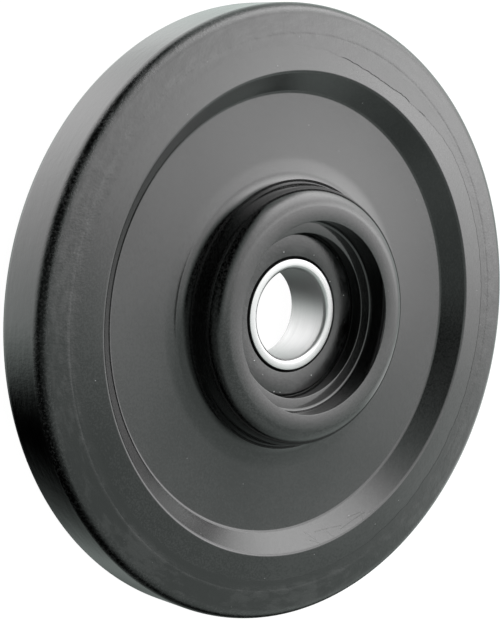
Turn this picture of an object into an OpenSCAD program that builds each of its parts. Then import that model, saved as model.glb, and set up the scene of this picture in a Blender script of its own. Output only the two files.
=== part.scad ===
// Idler wheel with a rubber tyre on a cast disc, turning on a sealed deep-groove ball bearing.
// It lies on the back face of its hub. The axis of the wheel is Z, the side seen in the photo faces up,
// and the origin is in the middle of the bearing's bore. Millimetres.
// A section list holds [radius, height, corner radius] points, and is turned about the axis.

/* [Tyre] */
// Outside diameter of the wheel over the tread
tyre_d = 136.7; // [110:0.1:165]
// Width of the tyre
tyre_w = 15.2; // [12:0.1:19]
// Thickness of the rubber over the rim
tyre_t = 8.35; // [6:0.05:11]
// Rounding between the tread and the side faces
tyre_edge_r = 3; // [1.5:0.25:4]
// How far the rubber runs out thin over the rim's front face
lap_w = 0.7; // [0.3:0.1:2]

/* [Wheel disc] */
// How far the rim's front face stands proud of the tyre's side
rim_rise = 1; // [0.5:0.1:2]
// Width of the rim's front face
rim_face_w = 6.5; // [4:0.1:9]
// Thickness of the rim under the rubber
rim_t = 4; // [3:0.1:5]
// Width of the sloping step between the rim face and the web
step_w = 4.35; // [3:0.05:6]
// Height of that step
step_h = 4.3; // [3:0.05:5.5]
// Thickness of the cast web
web_t = 4; // [3:0.1:5]

/* [Hub] */
// Metal round the bearing, half way up the hub's barrel
hub_wall = 7.7; // [6:0.1:10]
// Depth of the recess in front of the lip
recess_depth = 4.9; // [3:0.1:6]
// Rounding of the hub's front shoulder
shoulder_r = 4.25; // [2:0.25:5]
// Fillet between the hub's barrel and the web
foot_r = 3.5; // [2:0.25:5.5]
// Thickness of the lip that the bearing butts against
lip_t = 2.9; // [2:0.1:4]
// How far that lip reaches in over the bearing
lip_w = 2.7; // [2:0.1:3.5]
// Metal between the circlip's groove and the hub's back face
behind_clip = 1.95; // [1.5:0.05:3]

/* [Bearing] */
// Bore of the bearing, which is the axle's size
bore_d = 20; // [16:0.1:24]
// Outside diameter of the bearing
bearing_d = 42; // [40:0.1:52]
// Width of the bearing
bearing_w = 12; // [12:0.1:15]
// Diameter of one ball
ball_d = 6.35; // [5:0.05:7.7]
// Number of balls
ball_count = 9; // [9:1:9]
// Radial gap between the shoulders of the two rings
shoulder_gap = 3.8; // [3:0.1:4.6]
// How far each ring is stepped back from its shoulder for the seals
seal_step = 1.2; // [1:0.05:1.4]
// Thickness of the cage's pressed sheet
cage_t = 0.55; // [0.4:0.05:0.7]

/* [Circlip] */
// Thickness of the circlip
clip_t = 1.75; // [1.2:0.05:2.5]
// Depth of the groove that it springs into
groove_depth = 1.25; // [0.9:0.05:1.6]
// Width of the circlip opposite its gap
clip_w = 4.1; // [3.4:0.1:5]
// Diameter of the pliers holes in its lugs
lug_hole_d = 2.5; // [2:0.1:3]

/* [Hidden] */
$fn = 128;

// Bearing: half width, ring shoulders and raceways, with a small play so that no ball is pinched
half_w = bearing_w / 2;
pitch_r = (bore_d + bearing_d) / 4;
ball_r = ball_d / 2;
ball_play = 0.02;
groove_r = ball_r * 1.04;
inner_shoulder_r = pitch_r - shoulder_gap / 2;
outer_shoulder_r = pitch_r + shoulder_gap / 2;
ring_edge_r = 1;

// Cage: two pressed halves that meet in the bearing's middle plane
cage_w = 2.3;
cage_play = 0.1;
cage_top_z = ball_r + cage_play + cage_t;
rivet_r = 0.55;
rivet_head_r = 0.95;

// Seals: a rubber ring over a steel plate, clear of the cage, whose lip runs just clear of the inner ring
seal_land_r = inner_shoulder_r - seal_step;
seal_seat_r = outer_shoulder_r + seal_step;
seal_seat_z = cage_top_z + 0.375;
seal_play = 0.04;
seal_front_z = half_w - 0.25;
seal_back_z = seal_seat_z + 0.1;
plate_t = 0.4;
plate_z = seal_back_z + plate_t;

// Hub round the bearing: seat, lip and recess in front, circlip groove and lead-in behind
seat_r = bearing_d / 2;
hub_r = seat_r + hub_wall;
hub_draft = 0.3;
recess_r = seat_r + 0.3;
lip_face_z = half_w + lip_t;
hub_face_z = lip_face_z + recess_depth;
clip_slack = 0.1;
clip_groove_r = seat_r + groove_depth;
groove_bottom_z = -half_w - clip_t - clip_slack;
hub_back_z = groove_bottom_z - behind_clip;
lead_in = 0.5;

// Rim and web: the rim's front face falls gently outwards, and the web sits a step below it
bed_r = tyre_d / 2 - tyre_t;
rim_face_z = tyre_w / 2 + rim_rise;
rim_fall = 0.6;
rim_back_z = 0.4 - tyre_w / 2;
rim_inner_r = bed_r - rim_t;
step_outer_r = bed_r - rim_face_w;
step_inner_r = step_outer_r - step_w;
step_angle = atan(step_h / step_w);
web_z = rim_face_z - step_h;
web_back_z = web_z - web_t;
lap_r = bed_r - lap_w;
lap_t = 0.08;

// Height of the rim's front face at a radius
function rim_z(r) = rim_face_z - rim_fall * (r - step_outer_r) / rim_face_w;

// Points of the arc that rounds corner b, between its neighbours a and c
function corner_arc(a, b, c, r) =
    let (
        u = (a - b) / norm(a - b),
        v = (c - b) / norm(c - b),
        half = acos(u * v) / 2,
        centre = b + (u + v) / norm(u + v) * r / sin(half),
        first = b + u * r / tan(half) - centre,
        last = b + v * r / tan(half) - centre,
        turn = atan2(first.x * last.y - first.y * last.x, first * last),
        steps = max(3, ceil(abs(turn) / 6))
    )
    [for (i = [0:steps])
        let (t = turn * i / steps)
        centre + [first.x * cos(t) - first.y * sin(t), first.x * sin(t) + first.y * cos(t)]];

// A closed section from [radius, height, corner radius] points
function rounded(points) =
    let (n = len(points), xy = [for (p = points) [p[0], p[1]]])
    [for (i = [0:n - 1])
        each points[i][2] > 0
            ? corner_arc(xy[(i + n - 1) % n], xy[i], xy[(i + 1) % n], points[i][2])
            : [xy[i]]];

module turned(points) {
    rotate_extrude() polygon(rounded(points));
}

// Copies its children to the back half of the bearing
module mirrored_back() {
    mirror([0, 0, 1]) children();
}

// One casting: hub, web, step and rim, with the bearing's seat and circlip groove machined in its hub
module wheel_disc() {
    back_step_r = step_inner_r + web_t * tan(step_angle / 2);
    color("dimgray") turned([
        [seat_r - lip_w, half_w, 0],
        [seat_r - lip_w, lip_face_z, 0.2],
        [recess_r, lip_face_z, 0.7],
        [recess_r, hub_face_z, 0.15],
        [hub_r - hub_draft, hub_face_z, shoulder_r],
        [hub_r + hub_draft, web_z, foot_r],
        [step_inner_r, web_z, 1],
        [step_outer_r, rim_face_z, 1],
        [bed_r, rim_face_z - rim_fall, 0],
        [bed_r, rim_back_z, 0],
        [rim_inner_r, rim_back_z, 0.8],
        [rim_inner_r, web_back_z + (rim_inner_r - back_step_r) * tan(step_angle), 1],
        [back_step_r, web_back_z, 2],
        [hub_r + hub_draft, web_back_z, 3],
        [hub_r - hub_draft, hub_back_z, 1],
        [seat_r + lead_in, hub_back_z, 0],
        [seat_r, hub_back_z + lead_in, 0],
        [seat_r, groove_bottom_z, 0],
        [clip_groove_r, groove_bottom_z, 0],
        [clip_groove_r, -half_w, 0],
        [seat_r, -half_w, 0],
        [seat_r, half_w, 0]
    ]);
}

// Rubber bonded round the rim, running out thin over the edge of its front face
module tyre() {
    half_t = tyre_w / 2;
    lap_edge_r = bed_r + 1.1;
    color("#26282a") turned([
        [lap_r, rim_z(lap_r), 0],
        [lap_r, rim_z(lap_r) + lap_t, 0],
        [lap_edge_r, rim_z(bed_r) + 0.15, 0.6],
        [lap_edge_r + 1.4, half_t, 1.2],
        [tyre_d / 2, half_t, tyre_edge_r],
        [tyre_d / 2, -half_t, tyre_edge_r],
        [bed_r + 0.8, -half_t, 0.4],
        [bed_r + 0.3, rim_back_z, 0],
        [bed_r, rim_back_z, 0],
        [bed_r, rim_z(bed_r), 0]
    ]);
}

// One torus cut into a ring as its raceway
module raceway(bottom_r, side) {
    translate([bottom_r + side * groove_r, 0]) circle(r = groove_r);
}

module bearing_outer_ring() {
    color("silver") rotate_extrude() difference() {
        polygon(rounded([
            [seat_r, -half_w, ring_edge_r],
            [seat_r, half_w, ring_edge_r],
            [seal_seat_r + 0.2, half_w, 0],
            [seal_seat_r, half_w - 0.3, 0],
            [seal_seat_r, half_w - 0.6, 0],
            [seal_seat_r + 0.35, half_w - 0.8, 0],
            [seal_seat_r + 0.35, seal_seat_z, 0],
            [outer_shoulder_r, seal_seat_z, 0.2],
            [outer_shoulder_r, -seal_seat_z, 0.2],
            [seal_seat_r + 0.35, -seal_seat_z, 0],
            [seal_seat_r + 0.35, 0.8 - half_w, 0],
            [seal_seat_r, 0.6 - half_w, 0],
            [seal_seat_r, 0.3 - half_w, 0],
            [seal_seat_r + 0.2, -half_w, 0]
        ]));
        raceway(pitch_r + ball_r + ball_play, -1);
    }
}

module bearing_inner_ring() {
    color("gainsboro") rotate_extrude() difference() {
        polygon(rounded([
            [bore_d / 2, half_w, ring_edge_r],
            [bore_d / 2, -half_w, ring_edge_r],
            [seal_land_r, -half_w, 0.15],
            [seal_land_r, -seal_seat_z, 0.3],
            [inner_shoulder_r, -seal_seat_z, 0.2],
            [inner_shoulder_r, seal_seat_z, 0.2],
            [seal_land_r, seal_seat_z, 0.3],
            [seal_land_r, half_w, 0.15]
        ]));
        raceway(pitch_r - ball_r - ball_play, 1);
    }
}

// Places its children at each ball, or half way between two balls
module around_pitch(shift = 0) {
    for (i = [0:ball_count - 1])
        rotate([0, 0, (i + shift) * 360 / ball_count]) translate([pitch_r, 0, 0]) children();
}

module ball(i) {
    color("whitesmoke") rotate([0, 0, (i - 1) * 360 / ball_count]) translate([pitch_r, 0, 0]) sphere(r = ball_r);
}

// Pressed ribbon: flat between the balls and cupped over each one
module cage_half() {
    pocket_r = ball_r + cage_play;
    color("tan") difference() {
        intersection() {
            union() {
                cylinder(r = pitch_r + cage_w, h = cage_t);
                around_pitch() sphere(r = pocket_r + cage_t);
            }
            difference() {
                cylinder(r = pitch_r + cage_w / 2, h = 2 * ball_d);
                translate([0, 0, -1]) cylinder(r = pitch_r - cage_w / 2, h = 2 * ball_d + 2);
            }
        }
        around_pitch() sphere(r = pocket_r);
        around_pitch(0.5) translate([0, 0, -1]) cylinder(r = rivet_r, h = 2 + cage_t);
    }
}

// Nine rivets that clench the two halves together between the balls
module cage_rivets() {
    color("darkgoldenrod") around_pitch(0.5) rotate_extrude() polygon([
        [0, -cage_t - 0.45], [rivet_head_r - 0.25, -cage_t - 0.4], [rivet_head_r, -cage_t], [rivet_r, -cage_t],
        [rivet_r, cage_t], [rivet_head_r, cage_t], [rivet_head_r - 0.25, cage_t + 0.4], [0, cage_t + 0.45]
    ]);
}

// Moulded rubber: outer bead in the ring's seat, flat face and a lip that slopes in to the inner ring
module seal() {
    lip_r = seal_land_r + seal_play;
    bead_r = seal_seat_r + 0.25;
    color("#3a3c3d") turned([
        [lip_r, seal_back_z + 0.15, 0],
        [lip_r, seal_back_z + 0.55, 0],
        [lip_r + 0.55, seal_front_z, 0.15],
        [seal_seat_r - 0.9, seal_front_z, 0.2],
        [seal_seat_r - 0.15, half_w - 0.55, 0.1],
        [seal_seat_r - 0.05, half_w - 0.75, 0],
        [bead_r, half_w - 0.95, 0.1],
        [bead_r, seal_back_z, 0],
        [seal_seat_r - 0.4, seal_back_z, 0],
        [seal_seat_r - 0.4, plate_z, 0],
        [inner_shoulder_r, plate_z, 0],
        [inner_shoulder_r, seal_back_z, 0],
        [lip_r + 0.45, seal_back_z, 0]
    ]);
}

// Steel washer that stiffens the seal, bonded into its back
module seal_plate() {
    color("slategray") turned([
        [inner_shoulder_r, seal_back_z, 0],
        [seal_seat_r - 0.4, seal_back_z, 0],
        [seal_seat_r - 0.4, plate_z, 0],
        [inner_shoulder_r, plate_z, 0]
    ]);
}

// Spring ring in its groove behind the bearing, widest opposite its gap, with a lug at each end
module circlip() {
    outer_r = clip_groove_r - 0.05;
    lug_r = lug_hole_d / 2 + 1;
    lug_at = outer_r - lug_r - 1.2;
    lug_turn = 12;
    narrow_w = clip_w * 0.6;
    color("#4b4e50") translate([0, 0, -half_w - clip_t]) linear_extrude(clip_t) difference() {
        union() {
            difference() {
                circle(r = outer_r);
                translate([0, (clip_w - narrow_w) / 2]) circle(r = outer_r - (clip_w + narrow_w) / 2);
                polygon([[0, 0], 2 * outer_r * [sin(lug_turn), cos(lug_turn)], 2 * outer_r * [-sin(lug_turn), cos(lug_turn)]]);
            }
            for (side = [-1, 1]) rotate(side * lug_turn) translate([0, lug_at]) {
                circle(r = lug_r);
                translate([-lug_r, 0]) square([2 * lug_r, outer_r - lug_at - 0.25]);
            }
        }
        for (side = [-1, 1]) rotate(side * lug_turn) translate([0, lug_at]) circle(r = lug_hole_d / 2);
    }
}

wheel_disc();
tyre();
bearing_outer_ring();
bearing_inner_ring();
for (i = [1:ball_count]) ball(i);
cage_half();  // front_cage_half
mirrored_back() cage_half();  // back_cage_half
cage_rivets();
seal();  // front_seal
mirrored_back() seal();  // back_seal
seal_plate();  // front_seal_plate
mirrored_back() seal_plate();  // back_seal_plate
circlip();
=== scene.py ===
import math

import bpy
import numpy as np
from mathutils import Matrix, Vector


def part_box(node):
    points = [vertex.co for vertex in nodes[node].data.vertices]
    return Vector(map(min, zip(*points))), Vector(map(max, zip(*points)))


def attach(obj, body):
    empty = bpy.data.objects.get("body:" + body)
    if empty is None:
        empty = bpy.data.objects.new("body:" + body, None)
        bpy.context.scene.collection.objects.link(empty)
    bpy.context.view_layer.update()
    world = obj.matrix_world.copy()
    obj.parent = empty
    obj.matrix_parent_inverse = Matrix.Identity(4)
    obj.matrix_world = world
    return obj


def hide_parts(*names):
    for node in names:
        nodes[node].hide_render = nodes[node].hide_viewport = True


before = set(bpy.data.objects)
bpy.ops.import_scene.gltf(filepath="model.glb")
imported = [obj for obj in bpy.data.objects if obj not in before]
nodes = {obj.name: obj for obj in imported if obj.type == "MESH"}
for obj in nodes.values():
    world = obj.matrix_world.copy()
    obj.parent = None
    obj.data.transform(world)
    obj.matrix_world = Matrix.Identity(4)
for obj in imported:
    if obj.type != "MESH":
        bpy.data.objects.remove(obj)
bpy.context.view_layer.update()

# The camera. The wheel lies on the back of its hub and the camera looks down on its front face
# from about 420 mm, turned so that the picture's up is +Y, as if the wheel stood upright.
MM = 0.001
PICTURE_RIGHT = Vector((0.75317, 0.06984, 0.65411))
PICTURE_UP = Vector((0.0, 0.99435, -0.10616))
PICTURE_BACK = PICTURE_RIGHT.cross(PICTURE_UP)
CAMERA_PLACE = Vector((-278.94, 33.77, 310.59)) * MM
PICTURE_SIZE = (500, 620)
FOCAL_PIXELS = 1871.8
MIDDLE_PIXEL = (254.04, 308.90)
SENSOR_W = 36
NEAREST, FURTHEST = 0.01, 20

lens = bpy.data.cameras.new("camera")
lens.sensor_width = SENSOR_W
lens.lens = lens.sensor_width * FOCAL_PIXELS / PICTURE_SIZE[1]
lens.shift_x = (PICTURE_SIZE[0] / 2 - MIDDLE_PIXEL[0]) / PICTURE_SIZE[1]
lens.shift_y = (MIDDLE_PIXEL[1] - PICTURE_SIZE[1] / 2) / PICTURE_SIZE[1]
lens.clip_start, lens.clip_end = NEAREST, FURTHEST
camera = bpy.data.objects.new("camera", lens)
camera.matrix_world = Matrix.Translation(CAMERA_PLACE) @ Matrix(
    (PICTURE_RIGHT, PICTURE_UP, PICTURE_BACK)).transposed().to_4x4()
bpy.context.scene.collection.objects.link(camera)
bpy.context.scene.camera = camera
bpy.context.scene.view_settings.view_transform = "Standard"

# The studio light, drawn into the sky all round: a pale wall and a window on each side, a low strip
# on the right that the flat faces mirror, a wall behind, and a pale table and floor underneath.
DEG = math.radians(1)
NUMBER = "NodeSocketFloat"
VECTOR = "NodeSocketVector"


def feed(tree, socket, value):
    """Links a socket or sets a plain value."""
    if isinstance(value, bpy.types.NodeSocket):
        tree.links.new(value, socket)
    else:
        socket.default_value = value


def put(tree, kind, values=(), **settings):
    """Adds a node, with its settings and its inputs by place or by name."""
    made = tree.nodes.new(kind)
    for name, value in settings.items():
        setattr(made, name, value)
    named = values if isinstance(values, dict) else dict(enumerate(values))
    for place, value in named.items():
        feed(tree, made.inputs[place], value)
    return made


def maths(tree, operation, *values, **settings):
    """A node that reckons with numbers."""
    return put(tree, "ShaderNodeMath", values, operation=operation, **settings).outputs[0]


def vectors(tree, operation, *values):
    """A node that reckons with vectors and gives a vector."""
    return put(tree, "ShaderNodeVectorMath", values, operation=operation).outputs[0]


def scaled(tree, vector, size):
    return put(tree, "ShaderNodeVectorMath", {0: vector, "Scale": size}, operation="SCALE").outputs[0]


def dot(tree, a, b):
    return put(tree, "ShaderNodeVectorMath", (a, b), operation="DOT_PRODUCT").outputs["Value"]


def sum_of(tree, a, b):
    return maths(tree, "ADD", a, b)


def product(tree, a, b):
    return maths(tree, "MULTIPLY", a, b)


def ramp(tree, value, start, end, low=0.0, high=1.0):
    """A smooth step from low at start to high at end."""
    return put(tree, "ShaderNodeMapRange", (value, start, end, low, high),
               interpolation_type="SMOOTHSTEP").outputs[0]


def mixed(tree, low, high, mask):
    """A colour between low and high."""
    made = tree.nodes.new("ShaderNodeMix")
    made.data_type = "RGBA"
    feed(tree, made.inputs[0], mask)
    feed(tree, made.inputs[6], low)
    feed(tree, made.inputs[7], high)
    return made.outputs[2]


def grey(value):
    return (value, value, value, 1.0)


def new_group(name, kind, inputs, outputs):
    """A node group with named inputs, each with a kind of socket and a value, and named outputs."""
    tree = bpy.data.node_groups.new(name, kind)
    for title, (socket, value) in inputs.items():
        made = tree.interface.new_socket(title, in_out="INPUT", socket_type=socket)
        if value is not None:
            made.default_value = value
    for title, socket in outputs.items():
        tree.interface.new_socket(title, in_out="OUTPUT", socket_type=socket)
    start, end = tree.nodes.new("NodeGroupInput"), tree.nodes.new("NodeGroupOutput")
    return tree, start.outputs, end.inputs


def grouped(tree, group, **values):
    """A group's node, with its inputs by name. Returns its outputs."""
    made = put(tree, "ShaderNodeGroup", node_tree=group)
    for title, value in values.items():
        feed(tree, made.inputs[title.replace("_", " ")], value)
    return made.outputs


box_group, given, out = new_group("soft_box", "ShaderNodeTree", {
    "Turn": (NUMBER, 0.0), "Height": (NUMBER, 0.0), "Middle": (NUMBER, 0.0),
    "Half Width": (NUMBER, 0.8), "Side Blur": (NUMBER, 0.3), "Bottom": (NUMBER, 0.0),
    "Bottom Blur": (NUMBER, 0.1), "Top": (NUMBER, 1.5), "Top Blur": (NUMBER, 0.1),
    "Strength": (NUMBER, 1.0)}, {"Light": NUMBER})
away = maths(box_group, "SUBTRACT", given["Turn"], given["Middle"])
away = maths(box_group, "ABSOLUTE", maths(box_group, "WRAP", away, math.pi, -math.pi))


def edge_of(value, place, blur, low, high):
    """A soft edge of the box at the named place, blurred by the named blur."""
    start = maths(box_group, "SUBTRACT", given[place], given[blur])
    return ramp(box_group, value, start, sum_of(box_group, given[place], given[blur]), low, high)


lit = product(box_group, edge_of(given["Height"], "Bottom", "Bottom Blur", low=0.0, high=1.0),
              edge_of(given["Height"], "Top", "Top Blur", low=1.0, high=0.0))
lit = product(box_group, lit, edge_of(away, "Half Width", "Side Blur", low=1.0, high=0.0))
feed(box_group, out["Light"], product(box_group, lit, given["Strength"]))

# Each box has a middle (0 towards the camera, 90 on the picture's right), a half width and its
# blur, a bottom and its blur, and a top and its blur, all in degrees, and then its strength.
SOFT_BOXES = {
    "right_wall": (60, 40, 20, -10, 10, 80, 20, 2.2),
    "right_window": (85, 40, 20, 20, 30, 60, 10, 4.8),
    "right_strip": (90, 10, 30, -5, 10, 10, 15, 7),
    "left_wall": (-120, 60, 20, 20, 30, 80, 10, 2.5),
    "left_window": (-100, 35, 20, -10, 10, 70, 10, 1.8),
    "back_wall": (135, 40, 20, -20, 5, 90, 5, 1.2),
    "table": (70, 70, 20, -70, 30, -10, 10, 1.1),
    "table_left": (-160, 10, 30, -50, 30, -20, 10, 0.8),
    "near_floor": (-20, 10, 20, -70, 20, 10, 20, 0.3),
}
DIM_TINT, WHITE = (0.885, 1.0, 0.955, 1.0), grey(1.0)
DIM_LIGHT, BRIGHT_LIGHT = 0.3, 3.2
studio = bpy.data.worlds.new("studio")
bpy.context.scene.world = studio
studio.use_nodes = True
sky = studio.node_tree
sky.nodes.clear()
way = put(sky, "ShaderNodeTexCoord").outputs["Generated"]
across, above, towards = (dot(sky, way, tuple(axis))
                          for axis in (PICTURE_RIGHT, PICTURE_UP, PICTURE_BACK))
turn = maths(sky, "ARCTAN2", across, towards)
height = maths(sky, "ARCSINE", above)
light = 0.0
for *angles, strength in SOFT_BOXES.values():
    panel = put(sky, "ShaderNodeGroup", node_tree=box_group)
    for place, value in enumerate((turn, height, *(a * DEG for a in angles), strength)):
        feed(sky, panel.inputs[place], value)
    light = sum_of(sky, light, panel.outputs[0])
tint = mixed(sky, DIM_TINT, WHITE, ramp(sky, light, DIM_LIGHT, BRIGHT_LIGHT))
glow = put(sky, "ShaderNodeBackground", {"Color": tint, "Strength": light})
# The camera itself sees plain white past the floor's edge.
backdrop = put(sky, "ShaderNodeBackground", {"Color": WHITE, "Strength": 1.0})
seen_first = put(sky, "ShaderNodeLightPath").outputs["Is Camera Ray"]
shown = put(sky, "ShaderNodeMixShader", (seen_first, glow.outputs[0], backdrop.outputs[0]))
put(sky, "ShaderNodeOutputWorld", (shown.outputs[0],))

# The floor: a plain white sheet under the hub, which glows as a lit sweep does. The wheel doesn't
# mirror it, because the table's light is already in the sky.
FLOOR_HALF = 4.0
FLOOR_GAP = 0.02 * MM
FLOOR_GREY, FLOOR_GLOW = 0.08, 0.98
floor_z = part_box("wheel_disc")[0].z - FLOOR_GAP
corners = [(x * FLOOR_HALF, y * FLOOR_HALF, floor_z) for x, y in ((-1, -1), (1, -1), (1, 1), (-1, 1))]
sheet = bpy.data.meshes.new("floor")
sheet.from_pydata(corners, [], [(0, 1, 2, 3)])
floor = bpy.data.objects.new("floor", sheet)
bpy.context.scene.collection.objects.link(floor)
floor_look = bpy.data.materials.new("white_sheet")
floor_look.use_nodes = True
skin = floor_look.node_tree.nodes["Principled BSDF"]
skin.inputs["Base Color"].default_value = grey(FLOOR_GREY)
skin.inputs["Roughness"].default_value = 1.0
skin.inputs["Specular IOR Level"].default_value = 0.0
skin.inputs["Emission Color"].default_value = WHITE
skin.inputs["Emission Strength"].default_value = FLOOR_GLOW
sheet.materials.append(floor_look)
floor.visible_glossy = floor.visible_diffuse = floor.visible_shadow = False

# The wheel disc: one aluminium die casting with hub, web, step and rim. Its bearing seat is bored
# and grooved on a lathe, and the whole disc is sprayed gloss black after the rubber is moulded on.

# Sizes in millimetres: _R is a radius, _Z a height, _W a width, _T a thickness, _EDGE a rounding.
RIM_FACE_Z, RIM_FALL, RIM_BACK_Z, RIM_INNER_R, BED_R = 8.6, 0.6, -7.2, 56.0, 60.0
WEB_Z, WEB_T, STEP_IN_R, STEP_OUT_R = 4.3, 4.0, 49.05, 53.4
HUB_R, HUB_DRAFT, HUB_FACE_Z, SHOULDER_EDGE, FOOT_EDGE = 28.7, 0.3, 13.8, 4.25, 3.3
FOOT_OUT_R, FOOT_RISE, FOOT_OUT_EDGE = 34.2, 0.35, 25.0
SEAT_R, SEAT_BEVEL_W, RECESS_R, LIP_R, LIP_Z = 21.0, 0.5, 21.3, 18.3, 8.9
HUB_BACK_Z, GROOVE_R, GROOVE_Z, BEARING_HALF_W = -9.8, 22.25, -7.85, 6.0
LIP_EDGE, RECESS_EDGE, MOUTH_EDGE, CAST_EDGE, RIM_BACK_EDGE = 0.2, 0.7, 0.15, 1.0, 0.8
WEB_BACK_EDGE, HUB_BACK_EDGE = 2.0, 3.0

# The degrees between two points of a rounding, for roundings of at least so many millimetres.
ARC_DEGREES = {2.0: 4, 0.7: 8, 0.0: 20}
FEWEST_STEPS = 3


def rounded(corners):
    """The closed section of (radius, height, rounding) corners, as (radius, height) points."""
    points = []
    spots = [np.array(corner[:2], float) for corner in corners]
    for i, (*_, size) in enumerate(corners):
        here, before, after = spots[i], spots[i - 1], spots[(i + 1) % len(spots)]
        if size <= 0:
            points.append(here)
            continue
        back = (before - here) / np.linalg.norm(before - here)
        ahead = (after - here) / np.linalg.norm(after - here)
        half = math.acos(np.clip(back @ ahead, -1, 1)) / 2
        centre = here + (back + ahead) / np.linalg.norm(back + ahead) * size / math.sin(half)
        first, last = (here + way * size / math.tan(half) - centre for way in (back, ahead))
        sweep = math.atan2(first[0] * last[1] - first[1] * last[0], first @ last)
        finest = next(degrees for smallest, degrees in ARC_DEGREES.items() if size >= smallest)
        steps = max(FEWEST_STEPS, math.ceil(abs(sweep) / (finest * DEG)))
        for turned_by in (sweep * k / steps for k in range(steps + 1)):
            cosine, sine = math.cos(turned_by), math.sin(turned_by)
            points.append(centre + [first[0] * cosine - first[1] * sine,
                                    first[0] * sine + first[1] * cosine])
    return points


# A turned piece: a grid whose rows follow the section and whose columns go round the axis. Points
# of the section that have a "ragged" direction wander along it, as flash on moulded rubber does,
# and ones with a "crack" direction sink along it where that flash has run out furthest. The crack
# fades out between two shares of the run's width, and breaks where the wandering noise is low.
WHOLE, OBJECT, SURFACE = "NodeSocketInt", "NodeSocketObject", "NodeSocketMaterial"
CRACK_ENDS, CRACK_BREAKS = (0.25, 0.7), (0.36, 0.5)
WELD = 1e-7
SHARP = 28 * DEG
SAME_SPOT = 0.001
lathe, given, out = new_group("turned_piece", "GeometryNodeTree", {
    "Section": (OBJECT, None), "Section Points": (WHOLE, 10), "Segments": (WHOLE, 480),
    "Ragged Waves": (NUMBER, 8.0), "Ragged Size": (NUMBER, 0.0), "Run Angle": (NUMBER, 1.15),
    "Run Width": (NUMBER, 0.7), "Run Size": (NUMBER, 0.0), "Crack Depth": (NUMBER, 0.0),
    "Finish": (SURFACE, None)}, {"Geometry": "NodeSocketGeometry"})
section = put(lathe, "GeometryNodeObjectInfo", (given["Section"],)).outputs["Geometry"]
per_row = sum_of(lathe, given["Segments"], 1.0)
rows = put(lathe, "GeometryNodeMeshGrid", (1.0, 1.0, given["Section Points"], per_row))
number = put(lathe, "GeometryNodeInputIndex").outputs[0]
row = maths(lathe, "FLOOR", maths(lathe, "DIVIDE", sum_of(lathe, number, 0.5), per_row))
column = maths(lathe, "SUBTRACT", number, product(lathe, row, per_row))
angle = product(lathe, maths(lathe, "DIVIDE", column, given["Segments"]), math.tau)
cosine, sine = (maths(lathe, wave, angle) for wave in ("COSINE", "SINE"))


def along_section(value):
    """A vector of the section's point that this row follows."""
    return put(lathe, "GeometryNodeSampleIndex", {"Geometry": section, "Value": value, "Index": row},
               data_type="FLOAT_VECTOR", domain="POINT").outputs[0]


def kept_vector(name):
    return put(lathe, "GeometryNodeInputNamedAttribute", {"Name": name},
               data_type="FLOAT_VECTOR").outputs[0]


place = along_section(put(lathe, "GeometryNodeInputPosition").outputs[0])
ragged, crack = (along_section(kept_vector(name)) for name in ("ragged", "crack"))
ring = put(lathe, "ShaderNodeCombineXYZ", (cosine, sine, 0.0)).outputs[0]
wander = put(lathe, "ShaderNodeTexNoise", {"Vector": ring, "Scale": given["Ragged Waves"],
             "Detail": 4.0, "Roughness": 0.6}, noise_dimensions="3D").outputs[0]
broken = ramp(lathe, wander, *CRACK_BREAKS)
wander = product(lathe, sum_of(lathe, wander, -0.5), given["Ragged Size"])
off_run = maths(lathe, "WRAP", maths(lathe, "SUBTRACT", angle, given["Run Angle"]), math.pi, -math.pi)
off_run = maths(lathe, "DIVIDE", maths(lathe, "ABSOLUTE", off_run), given["Run Width"])
run = ramp(lathe, off_run, 0.0, 1.0, low=1.0, high=0.0)
wander = sum_of(lathe, wander, product(lathe, run, given["Run Size"]))
cracked = product(lathe, ramp(lathe, off_run, *CRACK_ENDS, low=1.0, high=0.0), broken)
sink = product(lathe, cracked, given["Crack Depth"])
flat = place
for way_out, size in ((ragged, wander), (crack, sink)):
    flat = vectors(lathe, "ADD", flat, scaled(lathe, way_out, size))
flat = put(lathe, "ShaderNodeSeparateXYZ", (flat,)).outputs
spot = put(lathe, "ShaderNodeCombineXYZ", (product(lathe, flat["X"], cosine),
           product(lathe, flat["X"], sine), flat["Z"])).outputs[0]
body = put(lathe, "GeometryNodeSetPosition", {"Geometry": rows.outputs[0], "Position": spot}).outputs[0]
body = put(lathe, "GeometryNodeMergeByDistance", {"Geometry": body, "Distance": WELD}).outputs[0]
body = put(lathe, "GeometryNodeSetShadeSmooth", {"Geometry": body, "Shade Smooth": True},
           domain="FACE").outputs[0]
steep = put(lathe, "FunctionNodeCompare",
            {"A": put(lathe, "GeometryNodeInputMeshEdgeAngle").outputs[0], "B": SHARP},
            data_type="FLOAT", operation="GREATER_THAN").outputs[0]
body = put(lathe, "GeometryNodeSetShadeSmooth",
           {"Geometry": body, "Selection": steep, "Shade Smooth": False}, domain="EDGE").outputs[0]
body = put(lathe, "GeometryNodeRealizeInstances", {"Geometry": body}).outputs[0]
body = put(lathe, "GeometryNodeSetMaterial", {"Geometry": body, "Material": given["Finish"]}).outputs[0]
feed(lathe, out["Geometry"], body)


WHEEL_SEGMENTS, BEARING_SEGMENTS = 520, 256


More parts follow.
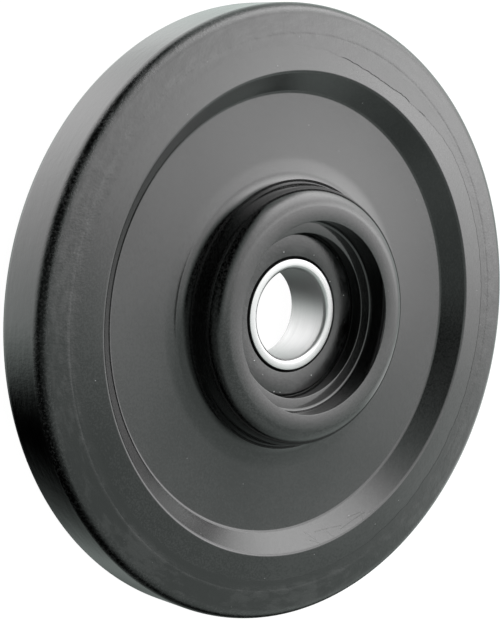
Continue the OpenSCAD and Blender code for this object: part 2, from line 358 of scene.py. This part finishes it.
def turned(name, corners, finish, segments=WHEEL_SEGMENTS, ragged=(), crack=(), **settings):
    """A plain mesh turned about the axis from corners in millimetres.
    ragged, crack: {(radius, height) of a corner: the (radius, height) direction in which it moves}."""
    outline = rounded(corners)
    outline = outline + outline[:1]
    section_mesh = bpy.data.meshes.new(name + "_section")
    section_mesh.from_pydata([(r * MM, 0.0, z * MM) for r, z in outline], [], [])
    for title, moved in (("ragged", ragged), ("crack", crack)):
        ways = section_mesh.attributes.new(title, "FLOAT_VECTOR", "POINT")
        for i, (r, z) in enumerate(outline):
            for (at_r, at_z), way_out in dict(moved).items():
                if math.hypot(r - at_r, z - at_z) < SAME_SPOT:
                    ways.data[i].vector = (way_out[0], 0.0, way_out[1])
    section_piece = bpy.data.objects.new(name + "_section", section_mesh)
    holder = bpy.data.objects.new(name + "_blank", bpy.data.meshes.new(name + "_blank"))
    bpy.context.scene.collection.objects.link(holder)
    bpy.context.scene.collection.objects.link(section_piece)
    turning = holder.modifiers.new("turning", "NODES")
    turning.node_group = lathe
    wanted = {"Section": section_piece, "Section Points": len(outline), "Segments": segments,
              "Finish": finish, **settings}
    for item in lathe.interface.items_tree:
        if item.in_out == "INPUT" and item.name in wanted:
            turning[item.identifier] = wanted[item.name]
    holder.update_tag()
    shape = bpy.data.meshes.new_from_object(holder.evaluated_get(bpy.context.evaluated_depsgraph_get()))
    shape.name = name
    for spare in (holder, section_piece):
        bpy.data.objects.remove(spare)
    for spare in [a.name for a in shape.attributes if a.name in ("ragged", "crack", "UVMap")]:
        shape.attributes.remove(shape.attributes[spare])
    piece = bpy.data.objects.new(name, shape)
    bpy.context.scene.collection.objects.link(piece)
    return piece


# Distance from the axis and the direction round it, from the piece's own coordinates.
axis_group, given, out = new_group("round_the_axis", "ShaderNodeTree", {"Position": (VECTOR, None)},
                                   {"Radius": NUMBER, "Direction": VECTOR})
xyz = put(axis_group, "ShaderNodeSeparateXYZ", (given["Position"],)).outputs
level = put(axis_group, "ShaderNodeCombineXYZ", (xyz[0], xyz[1], 0.0)).outputs[0]
length = put(axis_group, "ShaderNodeVectorMath", (level,), operation="LENGTH").outputs["Value"]
feed(axis_group, out["Radius"], length)
feed(axis_group, out["Direction"], vectors(axis_group, "NORMALIZE", level))


def noise(tree, place, scale, detail):
    return put(tree, "ShaderNodeTexNoise", {"Vector": place, "Scale": scale, "Detail": detail}).outputs[0]


# Orange peel and fine grain in a sprayed or moulded surface, as a height.
grain_group, given, out = new_group("fine_grain", "ShaderNodeTree", {
    "Position": (VECTOR, None), "Waves": (NUMBER, 900.0), "Peel": (NUMBER, 0.5),
    "Grain": (NUMBER, 0.5)}, {"Height": NUMBER})
peel = noise(grain_group, given["Position"], given["Waves"], detail=1.0)
grain = noise(grain_group, given["Position"], product(grain_group, given["Waves"], 5.0), detail=2.0)
feed(grain_group, out["Height"], sum_of(grain_group, product(grain_group, peel, given["Peel"]),
                                        product(grain_group, grain, given["Grain"])))

# Lines that run round the axis: lathe marks when fine, and smears or draw marks when coarse.
round_group, given, out = new_group("lines_round_the_axis", "ShaderNodeTree", {
    "Position": (VECTOR, None), "Across": (NUMBER, 600.0), "Along": (NUMBER, 6.0),
    "Detail": (NUMBER, 3.0)}, {"Height": NUMBER})
about = grouped(round_group, axis_group, Position=given["Position"])
above = put(round_group, "ShaderNodeSeparateXYZ", (given["Position"],)).outputs[2]
reach = maths(round_group, "SUBTRACT", about["Radius"], above)
reach = product(round_group, reach, given["Across"])
reach = put(round_group, "ShaderNodeCombineXYZ", (0.0, 0.0, reach)).outputs[0]
drawn = vectors(round_group, "ADD", scaled(round_group, about["Direction"], given["Along"]), reach)
feed(round_group, out["Height"], noise(round_group, drawn, scale=1.0, detail=given["Detail"]))

# Dust and pinholes: one small dot in a few of many cells.
dust_group, given, out = new_group("dust_specks", "ShaderNodeTree", {
    "Position": (VECTOR, None), "Cells": (NUMBER, 300.0), "Size": (NUMBER, 0.12),
    "Share": (NUMBER, 0.05)}, {"Specks": NUMBER})
cell = put(dust_group, "ShaderNodeTexVoronoi", {"Vector": given["Position"], "Scale": given["Cells"]},
           feature="F1").outputs
speck = maths(dust_group, "LESS_THAN", cell["Distance"], given["Size"])
chance = put(dust_group, "ShaderNodeSeparateXYZ", (cell["Color"],)).outputs[0]
picked = maths(dust_group, "LESS_THAN", chance, given["Share"])
feed(dust_group, out["Specks"], product(dust_group, speck, picked))

# One thin scratch between two places, broken up a little along its length.
scratch_group, given, out = new_group("scratch", "ShaderNodeTree", {
    "Position": (VECTOR, None), "From": (VECTOR, None), "To": (VECTOR, None),
    "Width": (NUMBER, 0.00015)}, {"Mark": NUMBER})
leg, run_to = (vectors(scratch_group, "SUBTRACT", end, given["From"])
               for end in (given["Position"], given["To"]))
share, whole = (dot(scratch_group, v, run_to) for v in (leg, run_to))
share = maths(scratch_group, "DIVIDE", share, whole, use_clamp=True)
wide = put(scratch_group, "ShaderNodeVectorMath", (leg, scaled(scratch_group, run_to, share)),
           operation="DISTANCE").outputs["Value"]
rough_edge = noise(scratch_group, given["Position"], scale=2500.0, detail=2.0)
rough_edge = ramp(scratch_group, rough_edge, 0.3, 0.6, low=0.2, high=1.3)
wide = maths(scratch_group, "DIVIDE", wide, product(scratch_group, given["Width"], rough_edge))
feed(scratch_group, out["Mark"], ramp(scratch_group, wide, 0.4, 1.0, low=1.0, high=0.0))


def new_finish(name, **sockets):
    """A material with some of its shader's own sockets set. Returns it, its tree, its shader and
    the piece's own coordinates."""
    finish = bpy.data.materials.new(name)
    finish.use_nodes = True
    shader = finish.node_tree.nodes["Principled BSDF"]
    for title, value in sockets.items():
        shader.inputs[title].default_value = value
    return finish, finish.node_tree, shader, put(finish.node_tree, "ShaderNodeTexCoord").outputs["Object"]


def bumped(tree, shader, relief, strength, depth):
    """Feeds the shader's normal from a height that counts for the depth in metres."""
    bump = put(tree, "ShaderNodeBump", {"Strength": strength, "Distance": depth, "Height": relief})
    feed(tree, shader.inputs["Normal"], bump.outputs[0])


def band(tree, value, start, end, low=0.0, high=1.0):
    """A smooth step between two places in millimetres."""
    return ramp(tree, value, start * MM, end * MM, low, high)


# Scratches in the paint of the lower step, each as the radius and the degrees of its two ends.
SCRATCHES = [((50.5, -80), (52.5, -78)), ((52, -80), (53.5, -77)), ((51.5, -74), (54.5, -72)),
             ((51.5, -66), (52, -62)), ((52, -62), (53.5, -63)), ((52.5, -70), (52.5, -61)),
             ((53, -60), (53.5, -57)), ((51, -77), (52, -69))]
SCRATCH_W = 0.1 * MM


def on_front(radius, degrees):
    return (radius * MM * math.cos(degrees * DEG), radius * MM * math.sin(degrees * DEG), 0.0)


# The paint is black, with a thin greyish film in blotches that is stronger on top of the hub, and
# is duller on the step, where the sanding under it shows most.
FILM_GREY, HUB_FILM_GREY, DUST_GREY = grey(0.009), grey(0.014), grey(0.12)
GLOSS, STEP_DULLNESS, NICK_DULLNESS = (0.06, 0.10), 0.13, 0.15
RIM_SANDING, STEP_SANDING, LEAST_SANDING, NICK_DEPTH = 2.2, 5.8, 0.3, -1.2
HUB_TOP = (HUB_FACE_Z - 2.3, HUB_FACE_Z - 0.2)
STEP_START = (STEP_IN_R - 0.55, STEP_IN_R + 0.45)
STEP_END = (STEP_OUT_R - 0.4, STEP_OUT_R + 0.2)
paint, tree, shader, position = new_finish("gloss_black_paint", IOR=1.5)
flat_position = vectors(tree, "MULTIPLY", position, (1.0, 1.0, 0.0))
orange_peel = grouped(tree, grain_group, Position=position, Waves=700.0, Peel=0.6, Grain=0.4)["Height"]
sanding = grouped(tree, round_group, Position=position, Across=2600.0, Along=5.0, Detail=3.0)["Height"]
radius = grouped(tree, axis_group, Position=position)["Radius"]
height = put(tree, "ShaderNodeSeparateXYZ", (position,)).outputs[2]
on_hub = band(tree, height, *HUB_TOP)
on_rim = band(tree, radius, *STEP_START)
on_step = product(tree, on_rim, band(tree, radius, *STEP_END, low=1.0, high=0.0))
cloudy = noise(tree, position, scale=55.0, detail=4.0)
dust = grouped(tree, dust_group, Position=position, Cells=420.0, Size=0.05, Share=0.1)["Specks"]
nicks = 0.0
for start, end in SCRATCHES:
    mark = grouped(tree, scratch_group, Position=flat_position, From=on_front(*start),
                   To=on_front(*end), Width=SCRATCH_W)["Mark"]
    nicks = maths(tree, "MAXIMUM", nicks, mark)
blotched = product(tree, sum_of(tree, cloudy, -0.5), 0.4)
blotched = sum_of(tree, noise(tree, position, scale=2600.0, detail=3.0), blotched)
film = mixed(tree, grey(0.0), FILM_GREY, ramp(tree, blotched, 0.42, 0.6))
film = mixed(tree, film, HUB_FILM_GREY, product(tree, on_hub, ramp(tree, blotched, 0.48, 0.68)))
feed(tree, shader.inputs["Base Color"], mixed(tree, film, DUST_GREY, dust))
worn = sum_of(tree, ramp(tree, cloudy, 0.35, 0.75, *GLOSS), product(tree, orange_peel, 0.02))
worn = sum_of(tree, worn, product(tree, on_step, STEP_DULLNESS))
feed(tree, shader.inputs["Roughness"], sum_of(tree, worn, product(tree, nicks, NICK_DULLNESS)))
relief = product(tree, orange_peel, sum_of(tree, product(tree, on_hub, 0.2), 1.8))
relief = sum_of(tree, relief, product(tree, nicks, NICK_DEPTH))
sanded = sum_of(tree, product(tree, on_rim, RIM_SANDING), product(tree, on_step, STEP_SANDING))
sanded = product(tree, sanding, sum_of(tree, sanded, LEAST_SANDING))
relief = sum_of(tree, relief, sanded)
bumped(tree, shader, relief, strength=0.16, depth=0.02 * MM)

# The bearing's seat and the circlip's groove are bored on a lathe and left bare, with fine marks.
STAINED_ALUMINIUM, CLEAN_ALUMINIUM = (0.62, 0.63, 0.64, 1.0), (0.80, 0.81, 0.82, 1.0)
bare, tree, shader, position = new_finish("bored_aluminium", Metallic=1.0)
marks = grouped(tree, round_group, Position=position, Across=7000.0, Along=0.6, Detail=2.0)["Height"]
stain = noise(tree, position, scale=160.0, detail=4.0)
feed(tree, shader.inputs["Base Color"], mixed(tree, STAINED_ALUMINIUM, CLEAN_ALUMINIUM, stain))
feed(tree, shader.inputs["Roughness"], ramp(tree, marks, 0.3, 0.7, low=0.22, high=0.36))
bumped(tree, shader, marks, strength=0.4, depth=0.01 * MM)

# The rubber runs out thin over the rim's face up to here, and the paint has cracked along its edge.
LAP_R, CRACK_W, CRACK_RIM_W, CRACK_DEPTH = 59.3, 0.17, 0.2, 0.05
FLASH = {"Ragged Waves": 14.0, "Ragged Size": 1.4 * MM, "Run Angle": 68 * DEG,
         "Run Width": 34 * DEG, "Run Size": -2.4 * MM}
fall = RIM_FALL / (BED_R - STEP_OUT_R)
down_the_rim = (1.0, -fall)


def rim_height(r):
    return RIM_FACE_Z - fall * (r - STEP_OUT_R)


crack_rim, crack_edge, crack_middle, lap_foot = ((r, rim_height(r)) for r in (
    LAP_R - CRACK_W - CRACK_RIM_W, LAP_R - CRACK_W, LAP_R - CRACK_W / 2, LAP_R))
web_back = WEB_Z - WEB_T
slope = math.atan2(RIM_FACE_Z - WEB_Z, STEP_OUT_R - STEP_IN_R)
back_step_r = STEP_IN_R + WEB_T * math.tan(slope / 2)
disc = turned("wheel_disc_casting", [
    (LIP_R, BEARING_HALF_W, 0), (LIP_R, LIP_Z, LIP_EDGE),
    (RECESS_R, LIP_Z, RECESS_EDGE), (RECESS_R, HUB_FACE_Z, MOUTH_EDGE),
    (HUB_R - HUB_DRAFT, HUB_FACE_Z, SHOULDER_EDGE), (HUB_R + HUB_DRAFT, WEB_Z + FOOT_RISE, FOOT_EDGE),
    (FOOT_OUT_R, WEB_Z, FOOT_OUT_EDGE), (STEP_IN_R, WEB_Z, CAST_EDGE), (STEP_OUT_R, RIM_FACE_Z, CAST_EDGE),
    (*crack_rim, 0), (*crack_edge, 0), (*crack_middle, 0), (*lap_foot, 0),
    (BED_R, RIM_FACE_Z - RIM_FALL, 0), (BED_R, RIM_BACK_Z, 0), (RIM_INNER_R, RIM_BACK_Z, RIM_BACK_EDGE),
    (RIM_INNER_R, web_back + (RIM_INNER_R - back_step_r) * math.tan(slope), CAST_EDGE),
    (back_step_r, web_back, WEB_BACK_EDGE), (HUB_R + HUB_DRAFT, web_back, HUB_BACK_EDGE),
    (HUB_R - HUB_DRAFT, HUB_BACK_Z, CAST_EDGE), (SEAT_R + SEAT_BEVEL_W, HUB_BACK_Z, 0),
    (SEAT_R, HUB_BACK_Z + SEAT_BEVEL_W, 0), (SEAT_R, GROOVE_Z, 0), (GROOVE_R, GROOVE_Z, 0),
    (GROOVE_R, -BEARING_HALF_W, 0), (SEAT_R, -BEARING_HALF_W, 0), (SEAT_R, BEARING_HALF_W, 0)], paint,
    ragged={corner: down_the_rim for corner in (crack_rim, crack_edge, crack_middle, lap_foot)},
    crack={crack_middle: (0.0, -1.0)}, **FLASH, **{"Crack Depth": CRACK_DEPTH * MM})
disc.data.materials.append(bare)
MARGIN = 0.01
for face in disc.data.polygons:
    r, z = math.hypot(face.center.x, face.center.y) / MM, face.center.z / MM
    if HUB_BACK_Z + MARGIN < z < BEARING_HALF_W + MARGIN and r < GROOVE_R + MARGIN:
        face.material_index = 1
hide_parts("wheel_disc")
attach(disc, "wheel")

# The tyre: black rubber moulded and bonded round the rim, running out thin over its front face.
# It is painted with the disc, and the corners of the tread are scuffed dull.
TYRE_R, TYRE_HALF_W, TREAD_EDGE, LAP_T = 68.35, 7.6, 3.0, 0.04
SIDE_IN_R, SIDE_IN_Z, SIDE_OUT_Z = 61.8, 7.96, 7.45
MOULD_LINE_T, MOULD_LINE_HALF_W, MOULD_LINE_EDGE = 0.006, 0.3, 0.2
BACK_SIDE_W, BACK_FOOT_W, BACK_EDGE = 0.8, 0.3, 0.4

CORNER_R, CORNER_Z = (TYRE_R - 2.85, TYRE_R - 1.55), (TYRE_HALF_W - 3.1, TYRE_HALF_W - 2.0)
SIDE_R, SIDE_Z = (BED_R + 0.3, BED_R + 1.2), (TYRE_HALF_W - 1.0, TYRE_HALF_W - 0.4)
RUBBED_GREY, RASPED_GREY, RUBBER_DUST_GREY = grey(0.009), grey(0.02), grey(0.04)
rubber, tree, shader, position = new_finish("painted_rubber", IOR=1.5)
radius = grouped(tree, axis_group, Position=position)["Radius"]
level = maths(tree, "ABSOLUTE", put(tree, "ShaderNodeSeparateXYZ", (position,)).outputs[2])
at_corner = product(tree, band(tree, radius, *CORNER_R), band(tree, level, *CORNER_Z))
on_side = product(tree, band(tree, level, *SIDE_Z), band(tree, radius, *SIDE_R))
moulded = grouped(tree, grain_group, Position=position, Waves=420.0, Peel=0.7, Grain=0.5)["Height"]
smears = grouped(tree, round_group, Position=position, Across=700.0, Along=16.0, Detail=4.0)["Height"]
draw_marks = grouped(tree, round_group, Position=position, Across=2400.0, Along=9.0, Detail=2.0)["Height"]
scuffs = put(tree, "ShaderNodeTexNoise", {"Vector": position, "Scale": 1900.0, "Detail": 4.0,
             "Roughness": 0.7}).outputs[0]
patches = noise(tree, position, scale=60.0, detail=4.0)
dust = grouped(tree, dust_group, Position=position, Cells=520.0, Size=0.07, Share=0.14)["Specks"]
rubbed = sum_of(tree, product(tree, smears, 0.7), product(tree, scuffs, 0.3))
rubbed = sum_of(tree, rubbed, product(tree, sum_of(tree, patches, -0.5), 0.5))
film = mixed(tree, grey(0.0), RUBBED_GREY, product(tree, ramp(tree, rubbed, 0.46, 0.64), on_side))
rasped = product(tree, at_corner, ramp(tree, patches, 0.3, 0.6, low=0.4, high=1.0))
rasped = product(tree, ramp(tree, scuffs, 0.48, 0.62), rasped)
film = mixed(tree, film, RASPED_GREY, rasped)
feed(tree, shader.inputs["Base Color"], mixed(tree, film, RUBBER_DUST_GREY, dust))
dull = sum_of(tree, ramp(tree, patches, 0.35, 0.7, low=0.10, high=0.17), product(tree, smears, 0.03))
feed(tree, shader.inputs["Roughness"], sum_of(tree, dull, product(tree, at_corner, 0.06)))
relief = sum_of(tree, product(tree, moulded, 2.5), product(tree, smears, 3.0))
relief = sum_of(tree, relief, product(tree, draw_marks, 0.4))
relief = product(tree, relief, sum_of(tree, product(tree, on_side, 0.2), 0.8))
scuffs = product(tree, product(tree, scuffs, at_corner), ramp(tree, patches, 0.3, 0.6, low=1.0, high=4.5))
bumped(tree, shader, sum_of(tree, relief, scuffs), strength=0.3, depth=0.05 * MM)

lap_top = (lap_foot[0], lap_foot[1] + LAP_T)
tyre = turned("rubber_tyre", [
    (*lap_foot, 0), (*lap_top, 0), (SIDE_IN_R - MOULD_LINE_HALF_W, SIDE_IN_Z, MOULD_LINE_EDGE),
    (SIDE_IN_R, SIDE_IN_Z + MOULD_LINE_T, MOULD_LINE_EDGE),
    (SIDE_IN_R + MOULD_LINE_HALF_W, SIDE_IN_Z, MOULD_LINE_EDGE),
    (TYRE_R, SIDE_OUT_Z, TREAD_EDGE), (TYRE_R, -TYRE_HALF_W, TREAD_EDGE),
    (BED_R + BACK_SIDE_W, -TYRE_HALF_W, BACK_EDGE), (BED_R + BACK_FOOT_W, RIM_BACK_Z, 0),
    (BED_R, RIM_BACK_Z, 0), (BED_R, rim_height(BED_R), 0)], rubber,
    ragged={lap_foot: down_the_rim, lap_top: down_the_rim}, **FLASH)
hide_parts("tyre")
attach(tyre, "wheel")

# The bearing's rings: hardened steel, ground all over, with the balls' raceways between them.
# The outer ring is pressed into the hub against the lip, and the inner ring carries the axle.
BORE_R, LAND_R, RACE_EDGE_R, SEAL_SEAT_Z = 10.0, 12.4, 13.6, 4.2
BORE_EDGE, LAND_EDGE, SEAL_STEP_EDGE, RACE_EDGE = 1.0, 0.15, 0.3, 0.2
BALL_R, PITCH_R, RACE_PLAY, RACE_RATIO, RACE_STEPS = 3.175, 15.5, 0.02, 1.04, 12

# The bore is a little paler and duller than the rest.
DARK_STEEL, PALE_STEEL, BORE_STEEL = grey(0.29), grey(0.33), grey(0.35)
GROUND_ROUGHNESS, BORE_DULLNESS = (0.24, 0.36), 0.23
BORE_END = (BORE_R + 0.1, BORE_R + 0.4)
ground, tree, shader, position = new_finish("ground_steel", Metallic=1.0)
grinding = grouped(tree, round_group, Position=position, Across=9000.0, Along=0.8, Detail=3.0)["Height"]
hazy = noise(tree, position, scale=240.0, detail=4.0)
radius = grouped(tree, axis_group, Position=position)["Radius"]
in_bore = band(tree, radius, *BORE_END, low=1.0, high=0.0)
steel = mixed(tree, DARK_STEEL, PALE_STEEL, hazy)
feed(tree, shader.inputs["Base Color"], mixed(tree, steel, BORE_STEEL, in_bore))
dull = ramp(tree, grinding, 0.3, 0.7, *GROUND_ROUGHNESS)
dull = sum_of(tree, dull, product(tree, in_bore, BORE_DULLNESS))
feed(tree, shader.inputs["Roughness"], dull)
bumped(tree, shader, grinding, strength=0.3, depth=0.01 * MM)

race_r = BALL_R * RACE_RATIO
race_centre_r = PITCH_R - BALL_R - RACE_PLAY + race_r
race_half_turn = math.acos((race_centre_r - RACE_EDGE_R) / race_r)
race = []
for k in range(RACE_STEPS + 1):
    turned_by = race_half_turn * (1 - 2 * k / RACE_STEPS)
    race.append((race_centre_r - race_r * math.cos(turned_by), race_r * math.sin(turned_by), 0))
inner = turned("ground_inner_ring", [
    (LAND_R, BEARING_HALF_W, LAND_EDGE), (LAND_R, SEAL_SEAT_Z, SEAL_STEP_EDGE),
    (RACE_EDGE_R, SEAL_SEAT_Z, RACE_EDGE), *race, (RACE_EDGE_R, -SEAL_SEAT_Z, RACE_EDGE),
    (LAND_R, -SEAL_SEAT_Z, SEAL_STEP_EDGE), (LAND_R, -BEARING_HALF_W, LAND_EDGE),
    (BORE_R, -BEARING_HALF_W, BORE_EDGE), (BORE_R, BEARING_HALF_W, BORE_EDGE)],
    ground, segments=BEARING_SEGMENTS)
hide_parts("bearing_inner_ring")
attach(inner, "inner_ring")


def dress(names, finish):
    """Gives CAD nodes a better material."""
    for name in names:
        nodes[name].data.materials.clear()
        nodes[name].data.materials.append(finish)


dress(["bearing_outer_ring"], ground)

# The balls, their two pressed cage halves and the rivets that clench these together, all of them
# out of sight behind the seals: polished balls of chrome steel, and a cage of thin sheet steel.
BALLS = 9
DULL_BALL, BRIGHT_BALL = (0.70, 0.70, 0.69, 1.0), grey(0.80)
polished, tree, shader, position = new_finish("polished_ball_steel", Metallic=1.0)
film = noise(tree, position, scale=500.0, detail=5.0)
feed(tree, shader.inputs["Base Color"], mixed(tree, DULL_BALL, BRIGHT_BALL, film))
feed(tree, shader.inputs["Roughness"], ramp(tree, film, 0.3, 0.7, low=0.04, high=0.09))
dress([f"ball_{i}" for i in range(1, BALLS + 1)], polished)

DARK_SHEET, PALE_SHEET = (0.46, 0.45, 0.43, 1.0), (0.60, 0.59, 0.56, 1.0)
sheet_steel, tree, shader, position = new_finish("pressed_sheet_steel", Metallic=1.0)
rolled = grouped(tree, grain_group, Position=position, Waves=1400.0, Peel=0.6, Grain=0.6)["Height"]
feed(tree, shader.inputs["Base Color"], mixed(tree, DARK_SHEET, PALE_SHEET, rolled))
feed(tree, shader.inputs["Roughness"], ramp(tree, rolled, 0.3, 0.9, low=0.28, high=0.42))
bumped(tree, shader, rolled, strength=0.3, depth=0.01 * MM)
dress(["front_cage_half", "back_cage_half", "cage_rivets"], sheet_steel)

# The seals: a ring of moulded rubber on a thin steel washer, snapped into the outer ring. The
# face that shows is smooth and satin, and its lip slopes in to the inner ring.
SEAL_R, SEAL_FRONT_Z, SEAL_BACK_Z, PLATE_R, PLATE_FRONT_Z, PLATE_RIM_W = 18.6, 5.75, 4.3, 13.6, 4.7, 0.4
LIP_PLAY, LIP_LOW_Z, LIP_TOP_Z, LIP_SLOPE_W, LIP_BACK_W = 0.04, 4.45, 4.85, 0.55, 0.45
FACE_RIM_W, FACE_EDGE, LIP_CREST_EDGE, BEAD_W, BEAD_Z, BEAD_EDGE = 0.9, 0.2, 0.15, 0.25, 5.05, 0.1
RIM_TOP_W, RIM_TOP_Z, CREASE_W, CREASE_Z = 0.15, 5.45, 0.05, 5.25

SEAL_FILM_GREY, SEAL_DUST_GREY = grey(0.012), grey(0.3)
seal_rubber, tree, shader, position = new_finish("satin_seal_rubber", IOR=1.45)
fine = grouped(tree, grain_group, Position=position, Waves=1500.0, Peel=0.5, Grain=0.5)["Height"]
mould_marks = grouped(tree, round_group, Position=position, Across=5200.0, Along=2.0, Detail=2.0)["Height"]
grease = noise(tree, position, scale=220.0, detail=5.0)
dust = grouped(tree, dust_group, Position=position, Cells=1100.0, Size=0.14, Share=0.04)["Specks"]
greasy = ramp(tree, sum_of(tree, fine, product(tree, grease, 0.6)), 0.72, 0.95)
film = mixed(tree, grey(0.0), SEAL_FILM_GREY, greasy)
feed(tree, shader.inputs["Base Color"], mixed(tree, film, SEAL_DUST_GREY, dust))
feed(tree, shader.inputs["Roughness"], ramp(tree, grease, 0.3, 0.75, low=0.12, high=0.24))
relief = sum_of(tree, product(tree, fine, 4.0), product(tree, mould_marks, 0.8))
bumped(tree, shader, relief, strength=0.25, depth=0.02 * MM)

lip_r = LAND_R + LIP_PLAY
for side, name in ((1, "front"), (-1, "back")):
    corners = [
        (lip_r, LIP_LOW_Z, 0), (lip_r, LIP_TOP_Z, 0), (lip_r + LIP_SLOPE_W, SEAL_FRONT_Z, LIP_CREST_EDGE),
        (SEAL_R - FACE_RIM_W, SEAL_FRONT_Z, FACE_EDGE), (SEAL_R - RIM_TOP_W, RIM_TOP_Z, BEAD_EDGE),
        (SEAL_R - CREASE_W, CREASE_Z, 0), (SEAL_R + BEAD_W, BEAD_Z, BEAD_EDGE),
        (SEAL_R + BEAD_W, SEAL_BACK_Z, 0), (SEAL_R - PLATE_RIM_W, SEAL_BACK_Z, 0),
        (SEAL_R - PLATE_RIM_W, PLATE_FRONT_Z, 0), (PLATE_R, PLATE_FRONT_Z, 0), (PLATE_R, SEAL_BACK_Z, 0),
        (lip_r + LIP_BACK_W, SEAL_BACK_Z, 0)]
    if side < 0:
        corners = [(r, -z, edge) for r, z, edge in reversed(corners)]
    seal = turned(name + "_rubber_seal", corners, seal_rubber, segments=BEARING_SEGMENTS)
    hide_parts(name + "_seal")
    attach(seal, "wheel")

plate_steel, tree, shader, position = new_finish("seal_washer_steel", Metallic=1.0)
rolled = grouped(tree, grain_group, Position=position, Waves=1100.0, Peel=0.5, Grain=0.6)["Height"]
feed(tree, shader.inputs["Base Color"], mixed(tree, grey(0.42), grey(0.56), rolled))
feed(tree, shader.inputs["Roughness"], ramp(tree, rolled, 0.3, 0.9, low=0.32, high=0.46))
dress(["front_seal_plate", "back_seal_plate"], plate_steel)

# The circlip: punched from spring steel, blackened, and sprung into its groove behind the bearing,
# where it holds the outer ring against the hub's lip.
BLACKED_STEEL, THIN_BLACKING = (0.07, 0.07, 0.075, 1.0), (0.17, 0.165, 0.16, 1.0)
spring, tree, shader, position = new_finish("blackened_spring_steel", Metallic=1.0)
blacking = grouped(tree, grain_group, Position=position, Waves=800.0, Peel=0.7, Grain=0.5)["Height"]
oil = noise(tree, position, scale=130.0, detail=4.0)
feed(tree, shader.inputs["Base Color"], mixed(tree, BLACKED_STEEL, THIN_BLACKING, blacking))
feed(tree, shader.inputs["Roughness"], ramp(tree, oil, 0.3, 0.75, low=0.28, high=0.45))
bumped(tree, shader, blacking, strength=0.3, depth=0.02 * MM)
dress(["circlip"], spring)
